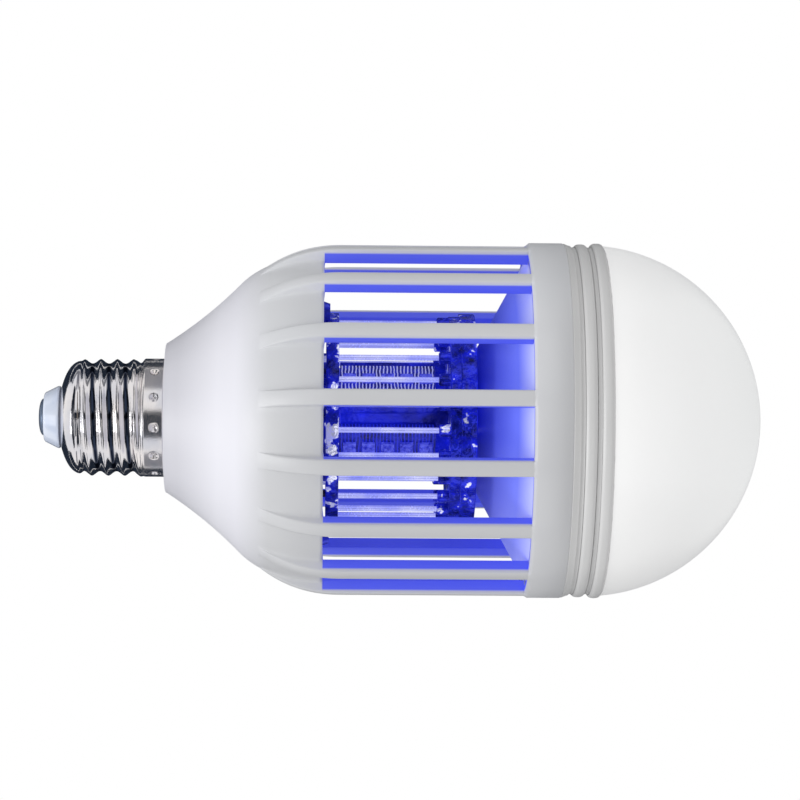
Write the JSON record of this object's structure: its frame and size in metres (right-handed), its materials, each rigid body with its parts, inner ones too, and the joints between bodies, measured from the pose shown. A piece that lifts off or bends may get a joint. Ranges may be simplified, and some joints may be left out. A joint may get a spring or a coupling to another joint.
{
  "type": "insect killer light bulb",
  "caption": "Screw-cap lamp with a slatted housing round a charged wire grid and a violet lamp, and a frosted lamp dome below.",
  "frame": {"origin": "on the axis, in the plane where the screw cap meets the housing", "axes": "+Z along the axis to the tip of the screw cap, so that the dome hangs below; +X through the middle of a window"},
  "size_m": [0.0788, 0.0788, 0.16],
  "materials": {
    "contact_metal": "domed tinned contact, satin",
    "cap_insulator": "pale blue-white moulded insulator",
    "cap_metal": "nickel-plated pressed sheet, bright",
    "housing": "white satin moulding",
    "deck": "white moulding lit violet-blue from below",
    "screw_steel": "zinc-plated steel",
    "board": "green circuit board",
    "capacitor_sleeve": "shrunk dark sleeve",
    "ferrite": "ground ferrite",
    "winding": "enamelled copper wire",
    "film_capacitor": "dipped yellow case",
    "black_case": "moulded black case",
    "resistor": "lacquered body",
    "red_lead": "red insulation",
    "black_lead": "black insulation",
    "yellow_lead": "yellow insulation",
    "grid_ring": "glossy clear moulding, lit violet-blue",
    "grid_wire": "bright drawn wire",
    "bus_metal": "stamped sheet",
    "column": "smooth moulding, lit violet-blue",
    "lamp_board": "white board",
    "violet_chip": "clear lens over a violet chip",
    "cone": "white moulding lit violet-blue",
    "collar": "white satin moulding",
    "sink_metal": "stamped sheet",
    "white_chip": "yellow phosphor in a white case",
    "dome": "frosted white translucent moulding"
  },
  "bodies": {
    "root": {"centre_contact": "contact_metal", "cap_insulator": "cap_insulator", "cap_shell": "cap_metal", "upper_housing": "housing", "upper_deck": "deck", "deck_screws": "screw_steel", "driver_board": "board", "smoothing_capacitor": "capacitor_sleeve", "transformer_core": "ferrite", "transformer_winding": "winding", "film_capacitor": "film_capacitor", "rectifier": "black_case", "inductor": "winding", "fuse_resistor": "resistor", "live_lead": "red_lead", "neutral_lead": "black_lead", "grid_leads": "red_lead", "lamp_leads": "yellow_lead", "grid_top_ring": "grid_ring", "grid_low_ring": "grid_ring", "live_wires": "grid_wire", "return_wires": "grid_wire", "live_bus": "bus_metal", "return_bus": "bus_metal", "lamp_column": "column", "lamp_boards": "lamp_board", "violet_chips": "violet_chip", "catching_cone": "cone", "cone_screws": "screw_steel", "lower_collar": "collar", "heat_sink": "sink_metal", "lamp_plate": "lamp_board", "plate_screws": "screw_steel", "white_chips": "white_chip", "dome_diffuser": "dome"}
  },
  "joints": []
}
